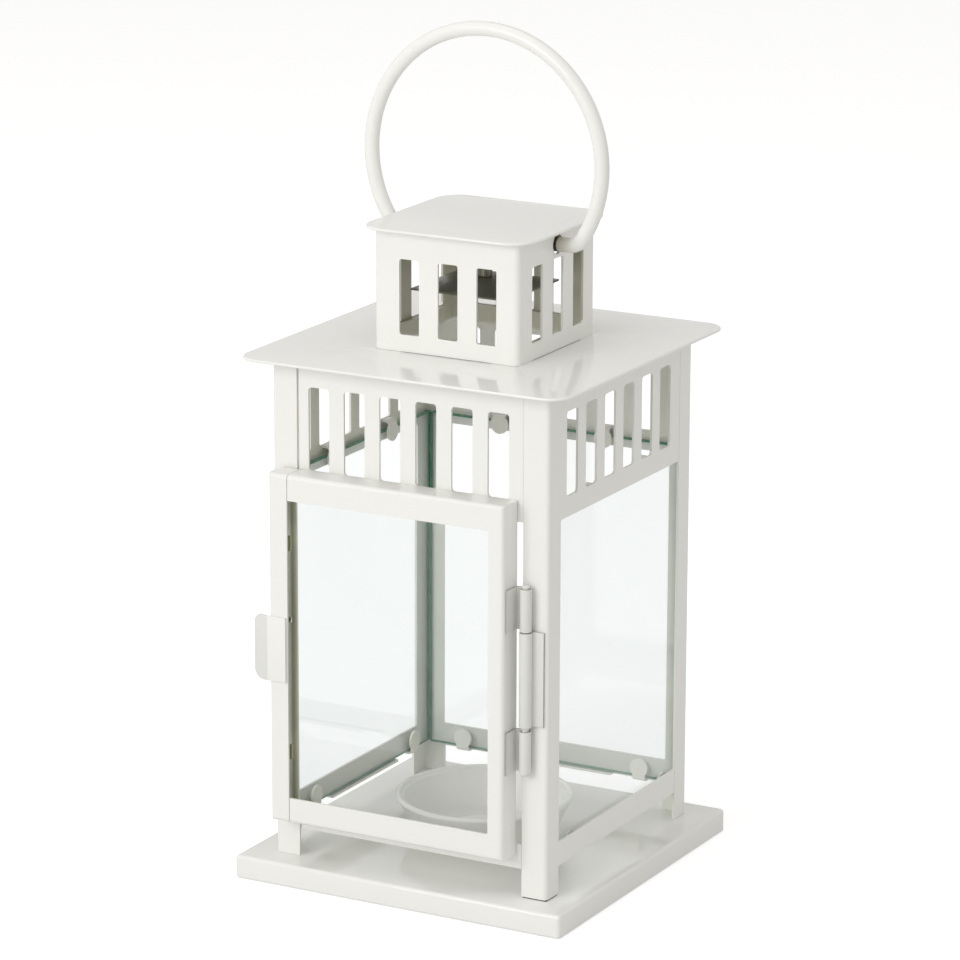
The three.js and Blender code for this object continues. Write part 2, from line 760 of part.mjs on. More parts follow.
// Latch plate: a flat on the stile and a finger wing beside it, bent a little back, with round outer corners.
function doorLatchTab() {
  const flatRight = stileSeam - latchInset;
  const wingRoot = flatRight - latchFlat;
  const lean = THREE.MathUtils.degToRad(latchLean);
  const face = doorFront - coat - latchSheet;
  const section = folded(
    [
      [wingRoot - latchWing * Math.cos(lean), face + latchWing * Math.sin(lean)],
      [wingRoot, face],
      [flatRight, face],
    ],
    latchSheet,
    latchSheet + 1.5,
  );
  const low = latchCentre - latchHeight / 2;
  const high = latchCentre + latchHeight / 2;
  const left = wingRoot - latchWing * Math.cos(lean);
  const outline = rectangle(left, flatRight + 2 * latchCorner, low, high, latchCorner);
  return prism(section, "z", low, high).intersect(
    prism(outline, "y", face - latchSheet, face + latchWing, plateCornerFlats),
  );
}

// Stud behind the free stile that snaps into the left post's hole.
function doorCatchStud() {
  const front = doorFrontInside + coat;
  const back = -bodyHalf + catchDepth;
  const profile = [
    [0, 0],
    [catchRadius, 0],
    [catchRadius, back - front - catchRadius / 2],
    [catchRadius / 2, back - front],
    [0, back - front],
  ].map(([radius, height]) => new THREE.Vector2(radius, height));
  const geometry = new THREE.LatheGeometry(profile, roundFlats);
  return solidOf(geometry.translate(-postEdge - catchFromPostEdge, front, catchHeight));
}

// Hinge: rolled knuckles round one pin, each with a leaf of the same sheet.
function knuckle(outerRadius, bore) {
  const ring = disc(hingeX, hingeY, outerRadius);
  ring.holes.push(disc(hingeX, hingeY, bore));
  return ring;
}

function bodyHingeLeaf() {
  const back = -bodyHalf - coat;
  const leaf = rectangle(hingeX, hingeX + bodyLeafWidth + bodyLeafSheet, back - bodyLeafSheet, back);
  const bore = pinRadius + coat;
  return prism(knuckle(bodyKnuckleRadius, bore), "z", bodyKnuckleBottom, bodyKnuckleTop, roundFlats)
    .add(prism(leaf, "z", bodyKnuckleBottom, bodyKnuckleTop))
    .subtract(prism(disc(hingeX, hingeY, bore), "z", 0, bodyTop, roundFlats));
}

function doorHingeLeaf(bottom) {
  const top = bottom + doorKnuckleLength;
  const strapFace = hingeY - doorKnuckleRadius + leafSheet;
  const leaf = folded(
    [
      [hingeX, strapFace],
      [doorRight + coat, strapFace],
      [doorRight + coat, strapFace - doorLeafWidth],
    ],
    leafSheet,
    leafSheet + 0.4,
  );
  return prism(knuckle(doorKnuckleRadius, knuckleBore), "z", bottom, top, roundFlats)
    .add(prism(leaf, "z", bottom, top))
    .subtract(prism(disc(hingeX, hingeY, knuckleBore), "z", 0, bodyTop, roundFlats));
}

function hingePin() {
  const foot = lowerLeafBottom - pinHeadHeight;
  const neck = upperLeafTop + running;
  const profile = [
    [0, foot],
    [pinRadius - 0.3, foot],
    [pinRadius, foot + 0.3],
    [pinRadius, neck],
    [pinHeadRadius, neck],
    [pinHeadRadius, neck + pinHeadHeight * 0.6],
    [pinHeadRadius * 0.7, neck + pinHeadHeight],
    [0, neck + pinHeadHeight],
  ].map(([radius, height]) => new THREE.Vector2(radius, height));
  return solidOf(standing(profile, roundFlats)).translate([hingeX, hingeY, 0]);
}

const rightPanel = sidePanel({ slotShift: rightSlotShift, catchHole: false });
const leftPanel = sidePanel({ slotShift: leftSlotShift, catchHole: true }).mirror([1, 0, 0]);
const sidePane = fixedPane("x", bodyInside - 2 * paneRoom);

const lantern = new THREE.Group();
lantern.name = "lantern";
lantern.add(
  meshOf("base_plate", basePlate(), paint),
  meshOf("candle_cup", candleCup(), paint),
  meshOf("left_side_panel", leftPanel, paint),
  meshOf("right_side_panel", rightPanel, paint),
  meshOf("back_panel", backPanel(), paint),
  meshOf("front_upper_panel", frontUpperPanel(), paint),
  meshOf("front_bottom_rail", frontStrip(railBottom, railTop), paint),
  meshOf("roof_plate", roofPlate(), paint),
  meshOf("turret", turret(), paint),
  meshOf("turret_cap", softPlate(capSide / 2, capCorner, capBottom, capBottom + plate, plateEdge), paint),
  meshOf("heat_shield", heatShield(), darkSteel),
  meshOf("heat_shield_rivet", shieldRivet(), bareSteel),
  meshOf("left_glass", sidePane.mirror([1, 0, 0]), clearGlass),
  meshOf("right_glass", sidePane, clearGlass),
  meshOf("back_glass", fixedPane("y", paneInside - paneRoom), clearGlass),
  meshOf("body_hinge_leaf", bodyHingeLeaf(), paint),
  meshOf("hinge_pin", hingePin(), paint),
  meshOf("door_frame", doorFrame(), paint),
  meshOf("door_left_stile", doorLeftStile(), paint),
  meshOf("door_glass", doorPane(), clearGlass),
  meshOf("door_latch_tab", doorLatchTab(), paint),
  meshOf("door_catch_stud", doorCatchStud(), bareSteel),
  meshOf("door_hinge_leaf_upper", doorHingeLeaf(upperLeafBottom), paint),
  meshOf("door_hinge_leaf_lower", doorHingeLeaf(lowerLeafBottom), paint),
  meshOf("carry_handle", carryHandle(), paint),
);

export default lantern;
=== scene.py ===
import json
import math

import bmesh
import bpy
import numpy as np
from mathutils import Matrix, Vector

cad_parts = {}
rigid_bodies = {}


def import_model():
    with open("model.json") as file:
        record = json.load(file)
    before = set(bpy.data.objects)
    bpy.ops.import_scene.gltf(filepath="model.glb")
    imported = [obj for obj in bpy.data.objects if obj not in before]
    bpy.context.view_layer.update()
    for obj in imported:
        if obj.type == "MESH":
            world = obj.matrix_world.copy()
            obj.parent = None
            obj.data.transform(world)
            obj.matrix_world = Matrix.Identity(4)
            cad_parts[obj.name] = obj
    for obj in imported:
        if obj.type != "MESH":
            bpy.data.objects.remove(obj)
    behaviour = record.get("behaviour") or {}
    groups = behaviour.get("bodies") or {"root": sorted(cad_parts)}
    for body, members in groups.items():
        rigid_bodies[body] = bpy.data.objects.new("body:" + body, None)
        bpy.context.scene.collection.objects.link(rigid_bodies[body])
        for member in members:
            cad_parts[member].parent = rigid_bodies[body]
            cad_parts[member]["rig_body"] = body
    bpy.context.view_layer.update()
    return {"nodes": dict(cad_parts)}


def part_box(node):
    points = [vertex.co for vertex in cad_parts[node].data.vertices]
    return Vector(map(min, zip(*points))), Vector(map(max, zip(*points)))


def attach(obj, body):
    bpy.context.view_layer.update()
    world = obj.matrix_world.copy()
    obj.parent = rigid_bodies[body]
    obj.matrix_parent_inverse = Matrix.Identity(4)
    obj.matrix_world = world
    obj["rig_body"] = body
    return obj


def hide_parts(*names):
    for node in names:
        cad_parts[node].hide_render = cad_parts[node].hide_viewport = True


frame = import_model()
# metres in a millimetre
mm = 0.001
print("frame loaded with", len(frame["nodes"]), "nodes")


def boxOf(node):
    # a node's box in millimetres, as its low and high corners
    low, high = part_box(node)
    return np.array(low) / mm, np.array(high) / mm


def gridFaces(rows, columns, closeRows=False, closeColumns=False):
    # quads between neighbours of a rows by columns grid, wrapped round where a direction closes on itself
    row = np.arange(rows if closeRows else rows - 1)[:, None]
    column = np.arange(columns if closeColumns else columns - 1)[None, :]
    nextRow, nextColumn = (row + 1) % rows, (column + 1) % columns
    corners = [row * columns + column, nextRow * columns + column,
               nextRow * columns + nextColumn, row * columns + nextColumn]
    return np.stack([c + 0 * (row + column) for c in corners], -1).reshape(-1, 4).tolist()


def cappedFaces(points):
    # the quads of a grid of rings, and one flat face over the first ring and one over the last
    rows, columns = points.shape[:2]
    last = (rows - 1) * columns
    ends = [list(range(columns)), list(range(last, last + columns))[::-1]]
    return gridFaces(rows, columns, closeColumns=True) + ends


def finishMesh(mesh, sharpAngle):
    # faces outwards, smooth shading with creases kept sharp
    shape = bmesh.new()
    shape.from_mesh(mesh)
    bmesh.ops.recalc_face_normals(shape, faces=shape.faces)
    shape.to_mesh(mesh)
    shape.free()
    mesh.polygons.foreach_set("use_smooth", np.ones(len(mesh.polygons), bool))
    mesh.set_sharp_from_angle(angle=math.radians(sharpAngle))


def addPiece(name, mesh, materials, standsFor):
    # the piece takes its body from the node that it stands for
    piece = bpy.data.objects.new(name, mesh)
    bpy.context.scene.collection.objects.link(piece)
    for material in materials:
        mesh.materials.append(material)
    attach(piece, frame["nodes"][standsFor]["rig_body"])
    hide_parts(standsFor)
    return piece


def makePiece(name, points, faces, materials, standsFor, sharpAngle=35, materialOf=None):
    # points in millimetres of the shared frame
    mesh = bpy.data.meshes.new(name)
    mesh.from_pydata((np.asarray(points, float).reshape(-1, 3) * mm).tolist(), [], faces)
    if materialOf is not None:
        mesh.polygons.foreach_set("material_index", np.asarray(materialOf, np.int32))
    finishMesh(mesh, sharpAngle)
    addPiece(name, mesh, materials, standsFor)


def arc(middle, radius, start, end, count):
    # points of a circle between two angles in degrees
    angle = np.radians(np.linspace(start, end, count))
    return np.stack([middle[0] + radius * np.cos(angle), middle[1] + radius * np.sin(angle)], -1)


def roundedRings(rings, steps):
    # each ring is four quarter circles joined by straight sides, from (half width, half depth, corner
    # radius, height)
    halfA, halfB, corner, height = (np.array(v, float)[:, None] for v in zip(*rings))
    quarter = np.repeat(np.arange(4), steps)[None, :]
    angle = quarter * np.pi / 2 + np.tile(np.linspace(0, np.pi / 2, steps), 4)[None, :]
    a = np.where(quarter % 3 == 0, 1, -1) * (halfA - corner) + corner * np.cos(angle)
    b = np.where(quarter < 2, 1, -1) * (halfB - corner) + corner * np.sin(angle)
    return np.stack([a, b, height + 0 * a], -1)


def turned(profile, count):
    # a profile of (radius, height) turned about the upright axis: x = r cos t, y = r sin t
    profile = np.asarray(profile, float)
    angle = np.linspace(0, 2 * np.pi, count, endpoint=False)
    radius, height = profile[:, 0][:, None], profile[:, 1][:, None]
    return np.stack([radius * np.cos(angle), radius * np.sin(angle), height + 0 * angle], -1)


def carried(path, profile, upright, spread=None):
    # a profile carried along a flat path: point = path + u * side + v * upright,
    # where side is across the path and spread scales v at each step of it
    along = np.gradient(path, axis=0)
    along /= np.linalg.norm(along, axis=1)[:, None]
    side = np.cross(along, upright)
    spread = np.ones(len(path)) if spread is None else spread
    u, v = profile[:, 0][None, :, None], profile[:, 1][None, :, None]
    return path[:, None, :] + u * side[:, None, :] + v * spread[:, None, None] * np.asarray(upright, float)


def reachAlong(points):
    # the length of a line up to each of its points
    return np.concatenate([[0], np.linalg.norm(np.diff(points, axis=0), axis=1).cumsum()])


def evenly(points, step):
    # the same line with its points a set distance apart
    reach = reachAlong(points)
    places = np.linspace(0, reach[-1], max(2, int(round(reach[-1] / step)) + 1))
    return np.stack([np.interp(places, reach, points[:, k]) for k in range(points.shape[1])], -1)


def sheetSection(thickness, height, edge, steps=4):
    # the outline of a strip's cut end, thickness by height, with rounded edges
    ring = roundedRings([(thickness / 2, height / 2, edge, 0)], steps)[0]
    return ring[:, :2]


def innerFaces(mesh, leastArea, facing):
    # 1 for each face over leastArea square millimetres that looks at the lantern's upright axis, else 0
    count = len(mesh.polygons)
    normal, middle, area = np.empty(count * 3), np.empty(count * 3), np.empty(count)
    mesh.polygons.foreach_get("normal", normal)
    mesh.polygons.foreach_get("center", middle)
    mesh.polygons.foreach_get("area", area)
    flatNormal, flatMiddle = normal.reshape(-1, 3)[:, :2], middle.reshape(-1, 3)[:, :2]
    inward = -(flatNormal * flatMiddle).sum(1) / np.maximum(np.linalg.norm(flatMiddle, axis=1), 1e-6)
    return ((area > leastArea * mm * mm) & (inward > facing)).astype(np.int32)


# metres, degrees and square millimetres; innerFacing is the least cosine between an inner face's normal
# and the way to the axis
softening = {"merge": 2e-6, "flatAngle": 0.6, "creaseAngle": 40, "segments": 2, "innerArea": 12,
             "innerFacing": 0.3}


def softCopy(name, node, width, facing, innerShadePaint, settle):
    # a copy of a node with its flat faces joined and its edges rounded; its inner faces take the painted
    # shade that follows the outer paint, and settle, if given, moves chosen points a little
    shape = bmesh.new()
    shape.from_mesh(frame["nodes"][node].data)
    bmesh.ops.remove_doubles(shape, verts=shape.verts, dist=softening["merge"])
    bmesh.ops.dissolve_limit(shape, angle_limit=math.radians(softening["flatAngle"]), verts=shape.verts,
                             edges=shape.edges)
    mesh = bpy.data.meshes.new(name)
    shape.to_mesh(mesh)
    shape.free()
    if settle is not None:
        place = np.empty(len(mesh.vertices) * 3)
        mesh.vertices.foreach_get("co", place)
        place = place.reshape(-1, 3) / mm
        mesh.vertices.foreach_set("co", (place + settle(*place.T)).reshape(-1) * mm)
        mesh.update()
    mesh.polygons.foreach_set("use_smooth", np.ones(len(mesh.polygons), bool))
    inner = innerFaces(mesh, softening["innerArea"], softening["innerFacing"])
    mesh.polygons.foreach_set("material_index", inner)
    piece = addPiece(name, mesh, [facing, innerShadePaint], node)
    bevel = piece.modifiers.new("edges", "BEVEL")
    bevel.width = width * mm
    bevel.segments = softening["segments"]
    bevel.limit_method = "ANGLE"
    bevel.angle_limit = math.radians(softening["creaseAngle"])
    bevel.use_clamp_overlap = True
    bevel.miter_outer = "MITER_ARC"
    normals = piece.modifiers.new("flats", "WEIGHTED_NORMAL")
    normals.keep_sharp = True


def newMaterial(name):
    # the material, its node tree and its main shader
    material = bpy.data.materials.new(name)
    material.use_nodes = True
    tree = material.node_tree
    return material, tree, tree.nodes["Principled BSDF"]


def addNode(tree, kind, **values):
    # a value goes to the node's input of that name, or else to its setting
    node = tree.nodes.new(kind)
    for key, value in values.items():
        if key in node.inputs.keys():
            node.inputs[key].default_value = value
        else:
            setattr(node, key, value)
    return node


def feed(tree, socket, value):
    # a socket takes another node's output or a plain value
    if isinstance(value, bpy.types.NodeSocket):
        tree.links.new(value, socket)
    else:
        socket.default_value = value


def mathOf(tree, operation, first, second=0.0):
    # one step of arithmetic on an output
    node = addNode(tree, "ShaderNodeMath", operation=operation)
    feed(tree, node.inputs[0], first)
    feed(tree, node.inputs[1], second)
    return node.outputs[0]


def mixedColour(tree, share, first, second):
    # this node's colours are its inputs 6 and 7 and its output 2
    node = addNode(tree, "ShaderNodeMix", data_type="RGBA")
    for number, value in ((0, share), (6, first), (7, second)):
        feed(tree, node.inputs[number], value)
    return node.outputs[2]


def noiseOf(tree, scale, detail=2.0, roughness=0.5, stretch=(1, 1, 1)):
    # a noise in the piece's own space, with scale features to the metre
    place = addNode(tree, "ShaderNodeTexCoord")
    mapping = addNode(tree, "ShaderNodeMapping")
    mapping.inputs["Scale"].default_value = stretch
    noise = addNode(tree, "ShaderNodeTexNoise", Scale=scale, Detail=detail, Roughness=roughness)
    tree.links.new(place.outputs["Object"], mapping.inputs["Vector"])
    tree.links.new(mapping.outputs["Vector"], noise.inputs["Vector"])
    return noise.outputs["Fac"]


def ranged(tree, value, low, high, fromLow=0.3, fromHigh=0.7):
    # low to high as the value runs from fromLow to fromHigh, which for a noise is nearly all of its range
    node = addNode(tree, "ShaderNodeMapRange")
    for key, number in (("From Min", fromLow), ("From Max", fromHigh), ("To Min", low), ("To Max", high)):
        node.inputs[key].default_value = number
    tree.links.new(value, node.inputs["Value"])
    return node.outputs["Result"]


def clouded(tree, noise, first, second):
    # a colour that drifts between two with a noise
    return mixedColour(tree, ranged(tree, noise, 0, 1), (*first, 1), (*second, 1))


def bumped(tree, height, strength, distance):
    # a bumpy normal; distance is the bumps' depth in millimetres
    node = addNode(tree, "ShaderNodeBump", Strength=strength, Distance=distance * mm)
    tree.links.new(height, node.inputs["Height"])
    return node.outputs["Normal"]


def paintOf(name, look):
    # baked enamel: a faint orange peel about a millimetre wide, and a tone that drifts over centimetres
    material, tree, shader = newMaterial(name)
    drift = noiseOf(tree, look["driftScale"], detail=0)
    tree.links.new(clouded(tree, drift, look["colour"], look["shade"]), shader.inputs["Base Color"])
    cloud = noiseOf(tree, look["cloudScale"], detail=0)
    tree.links.new(ranged(tree, cloud, *look["roughness"]), shader.inputs["Roughness"])
    peel = noiseOf(tree, look["peelScale"])
    tree.links.new(bumped(tree, peel, look["peelStrength"], look["peelDepth"]), shader.inputs["Normal"])
    shader.inputs["IOR"].default_value = 1.5
    return material


enamel = {
    "colour": (0.894, 0.889, 0.858), "shade": (0.890, 0.885, 0.853),
    "driftScale": 18, "cloudScale": 40, "roughness": (0.245, 0.262),
    "peelScale": 1300, "peelStrength": 0.02, "peelDepth": 0.01,
}
gloss = {**enamel, "roughness": (0.10, 0.11), "peelStrength": 0.015}
# painted shade: the inner faces are darker and more olive than the outer ones
insideShadeCoat = {**enamel, "colour": (0.77, 0.765, 0.685), "shade": (0.735, 0.73, 0.645), "driftScale": 34,
            "roughness": (0.28, 0.36)}
# painted shade inside the turret and on the roof's strips, darker still
turretShadeCoat = {**insideShadeCoat, "colour": (0.66, 0.645, 0.54), "shade": (0.62, 0.605, 0.50)}
# painted shade on the back panel's inner face, lighter, as more light comes through the panes there
backShadeCoat = {**insideShadeCoat, "colour": (0.88, 0.88, 0.825), "shade": (0.85, 0.85, 0.795)}
# the hinge's coat is darker and cooler than the body's, and its cut edges get a painted shade
hingeCoat = {**enamel, "colour": (0.77, 0.77, 0.74), "shade": (0.765, 0.765, 0.735)}
edgeShadeCoat = {**insideShadeCoat, "colour": (0.46, 0.46, 0.41), "shade": (0.40, 0.40, 0.35)}
sheetPaint = paintOf("sheetPaint", enamel)
platePaint = paintOf("platePaint", gloss)
insideShadePaint = paintOf("insideShadePaint", insideShadeCoat)
turretInsideShadePaint = paintOf("turretInsideShadePaint", turretShadeCoat)
backInsideShadePaint = paintOf("backInsideShadePaint", backShadeCoat)
# the hinge's paint is also the painted shade of the latch's wing
hingeAndWingShadePaint = paintOf("hingeAndWingShadePaint", hingeCoat)
hingeEdgeShadePaint = paintOf("hingeEdgeShadePaint", edgeShadeCoat)


def placeParts(tree):
    # the X, Y and Z of a point in its object
    place = addNode(tree, "ShaderNodeTexCoord")
    parts = addNode(tree, "ShaderNodeSeparateXYZ")
    tree.links.new(place.outputs["Object"], parts.inputs[0])
    return parts.outputs


def laidOver(tree, share, colour):
    # another colour over the coat, by its share
    coat = tree.nodes["Principled BSDF"].inputs["Base Color"]
    tree.links.new(mixedColour(tree, share, coat.links[0].from_socket, (*colour, 1)), coat)


def stubShadedRodOf(name, look, stubShades):
    # painted shade: brown along each stub under the cap, and dark at the hole, by the distance from the
    # middle; the ring above the stubs keeps its coat
    material = paintOf(name, look)
    tree = material.node_tree
    parts = placeParts(tree)
    away = mathOf(tree, "ABSOLUTE", parts["X"])
    low = ranged(tree, parts["Z"], 1, 0, *(height * mm for height in stubShades["heights"]))
    for colour, start, end in stubShades["stubs"]:
        near = ranged(tree, away, 1, 0, start * mm, end * mm)
        laidOver(tree, mathOf(tree, "MULTIPLY", near, low), colour)
    return material


def coveredShadePaintOf(name, look, cover):
    # painted shade where the closed door or its pane covers a sheet; each fade runs along one axis,
    # from a first share of the shade colour to a second between two places
    material = paintOf(name, look)
    tree = material.node_tree
    parts = placeParts(tree)
    share = None
    for axis, first, second, start, end in cover["fades"]:
        fade = ranged(tree, parts[axis], first, second, start * mm, end * mm)
        share = fade if share is None else mathOf(tree, "MULTIPLY", share, fade)
    laidOver(tree, share, cover["colour"])
    return material


# painted shade on the handle's stubs
stubShadedRodPaint = stubShadedRodOf("stubShadedRodPaint", enamel, {
    "heights": (212.5, 216.0),
    "stubs": [((0.52, 0.49, 0.40), 27.5, 33.0), ((0.05, 0.045, 0.035), 26.8, 27.1)],
})


def steelOf(name, look):
    # fine drawn lines along one direction and a cloudy heat tint
    material, tree, shader = newMaterial(name)
    lines = noiseOf(tree, look["lineScale"], detail=4, roughness=0.6, stretch=look["lineStretch"])
    tint = noiseOf(tree, look["tintScale"], detail=3)
    tree.links.new(clouded(tree, tint, look["colour"], look["tint"]), shader.inputs["Base Color"])
    tree.links.new(ranged(tree, lines, *look["roughness"]), shader.inputs["Roughness"])
    tree.links.new(bumped(tree, lines, look["lineStrength"], look["lineDepth"]), shader.inputs["Normal"])
    shader.inputs["Metallic"].default_value = look["metal"]
    return material


drawnSteel = {
    "colour": (0.36, 0.34, 0.29), "tint": (0.28, 0.26, 0.21), "tintScale": 300, "metal": 1.0,
    "lineScale": 900, "lineStretch": (1, 1, 0.1), "lineStrength": 0.1, "lineDepth": 0.02,
    "roughness": (0.25, 0.4),
}
bareSteel = steelOf("bareSteel", drawnSteel)
darkSteel = steelOf("darkSteel", {
    **drawnSteel, "colour": (0.21, 0.215, 0.19), "tint": (0.26, 0.26, 0.225), "tintScale": 60, "metal": 0.4,
    "lineScale": 500, "lineStretch": (1, 0.06, 0.06), "lineStrength": 0.05, "roughness": (0.30, 0.42),
})
# painted shadow: a near-black matt coat for the gap under the right foot
footGapShadow = steelOf("footGapShadow", {
    **drawnSteel, "colour": (0.03, 0.03, 0.025), "tint": (0.05, 0.048, 0.04), "metal": 0.0,
    "roughness": (0.6, 0.8),
})


def surfaceFrom(tree, kind, *sources):
    # the material's surface is a node that joins its sources, in the order of its inputs
    node = addNode(tree, kind)
    for socket, source in zip(node.inputs, sources):
        tree.links.new(source, socket)
    tree.links.new(node.outputs[0], tree.nodes["Material Output"].inputs["Surface"])


def lampsPass(tree, shader, colour):
    # light from the lamps and the room passes the glass straight, as through a thin pane
    paths = addNode(tree, "ShaderNodeLightPath").outputs
    passing = mathOf(tree, "MAXIMUM", paths["Is Shadow Ray"], paths["Is Diffuse Ray"])
    clear = addNode(tree, "ShaderNodeBsdfTransparent", Color=(*colour, 1))
    surfaceFrom(tree, "ShaderNodeMixShader", passing, shader.outputs[0], clear.outputs[0])


def paneGlassOf(name, look):
    # clear float glass with a faint smear on it
    material, tree, shader = newMaterial(name)
    smear = noiseOf(tree, look["smearScale"], detail=3, roughness=0.55, stretch=(1, 1, 0.5))
    tree.links.new(ranged(tree, smear, *look["roughness"]), shader.inputs["Roughness"])
    shader.inputs["Base Color"].default_value = (*look["colour"], 1)
    shader.inputs["Transmission Weight"].default_value = 1.0
    shader.inputs["IOR"].default_value = 1.45
    lampsPass(tree, shader, look["passed"])
    return material


def glassEdgeOf(name, look):
    # the cut edge, green because light runs a long way through the pane before it leaves there
    material, tree, shader = newMaterial(name)
    streak = noiseOf(tree, look["streakScale"], detail=3, roughness=0.6)
    tree.links.new(clouded(tree, streak, look["colour"], look["pale"]), shader.inputs["Base Color"])
    shader.inputs["Roughness"].default_value = 0.22
    shader.inputs["IOR"].default_value = 1.5
    return material


paneGlass = paneGlassOf("paneGlass", {
    "colour": (0.905, 0.922, 0.922), "passed": (0.98, 0.985, 0.98), "smearScale": 18,
    "roughness": (0.0, 0.03),
})
glassEdge = glassEdgeOf("glassEdge", {
    "colour": (0.075, 0.235, 0.150), "pale": (0.15, 0.38, 0.26), "streakScale": 240,
})
print("materials made")


# millimetres: how near a turned profile comes to its axis, and the least corner radius of a ring
pole = 0.001
leastCorner = 0.3


def insetRings(line, half, corner):
    # square rings along a line of (half width, height), whose corner radius shrinks as a ring goes in
    return [(x, x, max(corner - (half - x), leastCorner), z) for x, z in line]


def plateRings(half, corner, bottom, top, edge, steps):
    # the rim of a flat plate: a straight wall with a rounded edge below and above it
    low = arc((half - edge, bottom + edge), edge, -90, 0, steps)
    high = arc((half - edge, top - edge), edge, 0, 90, steps)
    return insetRings(np.concatenate([low, high]), half, corner)


def joinedShells(shells):
    # points, faces and material numbers of several (grid, faces, material number) as one mesh
    points, faces, materialOf, count = [], [], [], 0
    for grid, own, kind in shells:
        points.append(grid.reshape(-1, 3))
        faces += [[corner + count for corner in face] for face in own]
        materialOf += [kind] * len(own)
        count += len(points[-1])
    return np.concatenate(points), faces, materialOf


def makeBase():
    # square rings along the pan's section: round its inside corner, the half circle of its lip and the
    # quarter circle of its top edge; and a painted shadow under the right foot in front, a thin dark block
    # sunk in the pan's top, seen through the gap below the foot
    sizes = {"wall": 1.0, "corner": 1.4, "edge": 1.2, "insideEdge": 0.3, "cornerSteps": 10,
             "insideSteps": 5, "lipSteps": 7, "edgeSteps": 8,
             # the print sizes are the painted shadow's outline, and its height and depth
             "printLeft": 41.3, "printRight": 49.95, "printFront": -49.95, "printBack": -42.5,
             "printHeight": 0.05, "printDepth": 0.3}
    high = boxOf("base_plate")[1]
    half, top = high[0], high[2]
    wall, inner, edge = sizes["wall"], sizes["insideEdge"], sizes["edge"]
    ceiling = arc((half - wall - inner, top - wall - inner), inner, 90, 0, sizes["insideSteps"])
    lip = arc((half - wall / 2, wall / 2), wall / 2, 180, 360, sizes["lipSteps"])
    shoulder = arc((half - edge, top - edge), edge, 0, 90, sizes["edgeSteps"])
    rings = insetRings(np.concatenate([ceiling, lip, shoulder]), half, sizes["corner"])
    pan = roundedRings(rings, sizes["cornerSteps"])
    left, right, front, back = (sizes["print" + side] for side in ("Left", "Right", "Front", "Back"))
    outline = [(left, front), (right, front), (right, back), (left, back)]
    heights = (top - sizes["printDepth"], top + sizes["printHeight"])
    block = np.array([[(x, y, z) for x, y in outline] for z in heights])
    points, faces, materialOf = joinedShells([(pan, cappedFaces(pan), 0), (block, cappedFaces(block), 1)])
    makePiece("basePan", points, faces, [platePaint, footGapShadow], "base_plate",
              materialOf=materialOf)


def makeRoof():
    # a plate with a square hole, and along each side of the hole a strip folded up from the plate's edge:
    # in section the strip's middle line falls from its top, turns a quarter circle and meets the plate
    sizes = {"plate": 1.0, "corner": 8.0, "edge": 0.42, "cornerSteps": 16, "edgeSteps": 5,
             "hole": 25.85, "holeEdge": 0.3, "holeCorner": 0.4, "holeSteps": 4,
             "strip": 33.0, "stripInside": 23.95, "stripOverlap": 0.6, "stripDrop": 0.01,
             "stripEdge": 0.14, "foldRadius": 1.0, "foldSteps": 9, "step": 0.2}
    low, high = boxOf("roof_plate")
    top, plate = low[2] + sizes["plate"], sizes["plate"]
    outer = plateRings(high[0], sizes["corner"], low[2], top, sizes["edge"], sizes["edgeSteps"])
    edge = sizes["holeEdge"]
    upper = arc((sizes["hole"] + edge, top - edge), edge, 90, 180, sizes["holeSteps"])
    lower = arc((sizes["hole"] + edge, low[2] + edge), edge, 180, 270, sizes["holeSteps"])
    inner = [(x, x, sizes["holeCorner"], z) for x, z in np.concatenate([upper, lower])]
    ring = roundedRings(outer + inner, sizes["cornerSteps"])
    shells = [(ring, gridFaces(*ring.shape[:2], closeRows=True, closeColumns=True), 0)]
    middle, radius = sizes["stripInside"] + plate / 2, sizes["foldRadius"]
    fold = arc((middle + radius, low[2] + plate / 2 + radius), radius, 180, 270, sizes["foldSteps"])
    stripTop = [middle, high[2] - sizes["stripDrop"]]
    stripEnd = [sizes["hole"] + sizes["stripOverlap"], low[2] + plate / 2]
    line = evenly(np.concatenate([[stripTop], fold, [stripEnd]]), sizes["step"])
    for turn in range(4):
        out = np.array([math.cos(turn * math.pi / 2), math.sin(turn * math.pi / 2), 0])
        along = np.array([-out[1], out[0], 0])
        path = line[:, :1] * out + np.array([0, 0, 1]) * line[:, 1:]
        strip = carried(path, sheetSection(plate, sizes["strip"], sizes["stripEdge"]), along)
        shells.append((strip, cappedFaces(strip), 1))
    points, faces, materialOf = joinedShells(shells)
    # the strips take the turret's inside painted shade
    makePiece("roofSheet", points, faces, [platePaint, turretInsideShadePaint], "roof_plate",
              materialOf=materialOf)


def makeCap():
    # a flat plate with round corners, its edges rounded above and below
    sizes = {"corner": 9.0, "edge": 0.42, "cornerSteps": 16, "edgeSteps": 5}
    low, high = boxOf("turret_cap")
    rings = plateRings(high[0], sizes["corner"], low[2], high[2], sizes["edge"], sizes["edgeSteps"])
    points = roundedRings(rings, sizes["cornerSteps"])
    makePiece("capSheet", points, cappedFaces(points), [platePaint], "turret_cap")


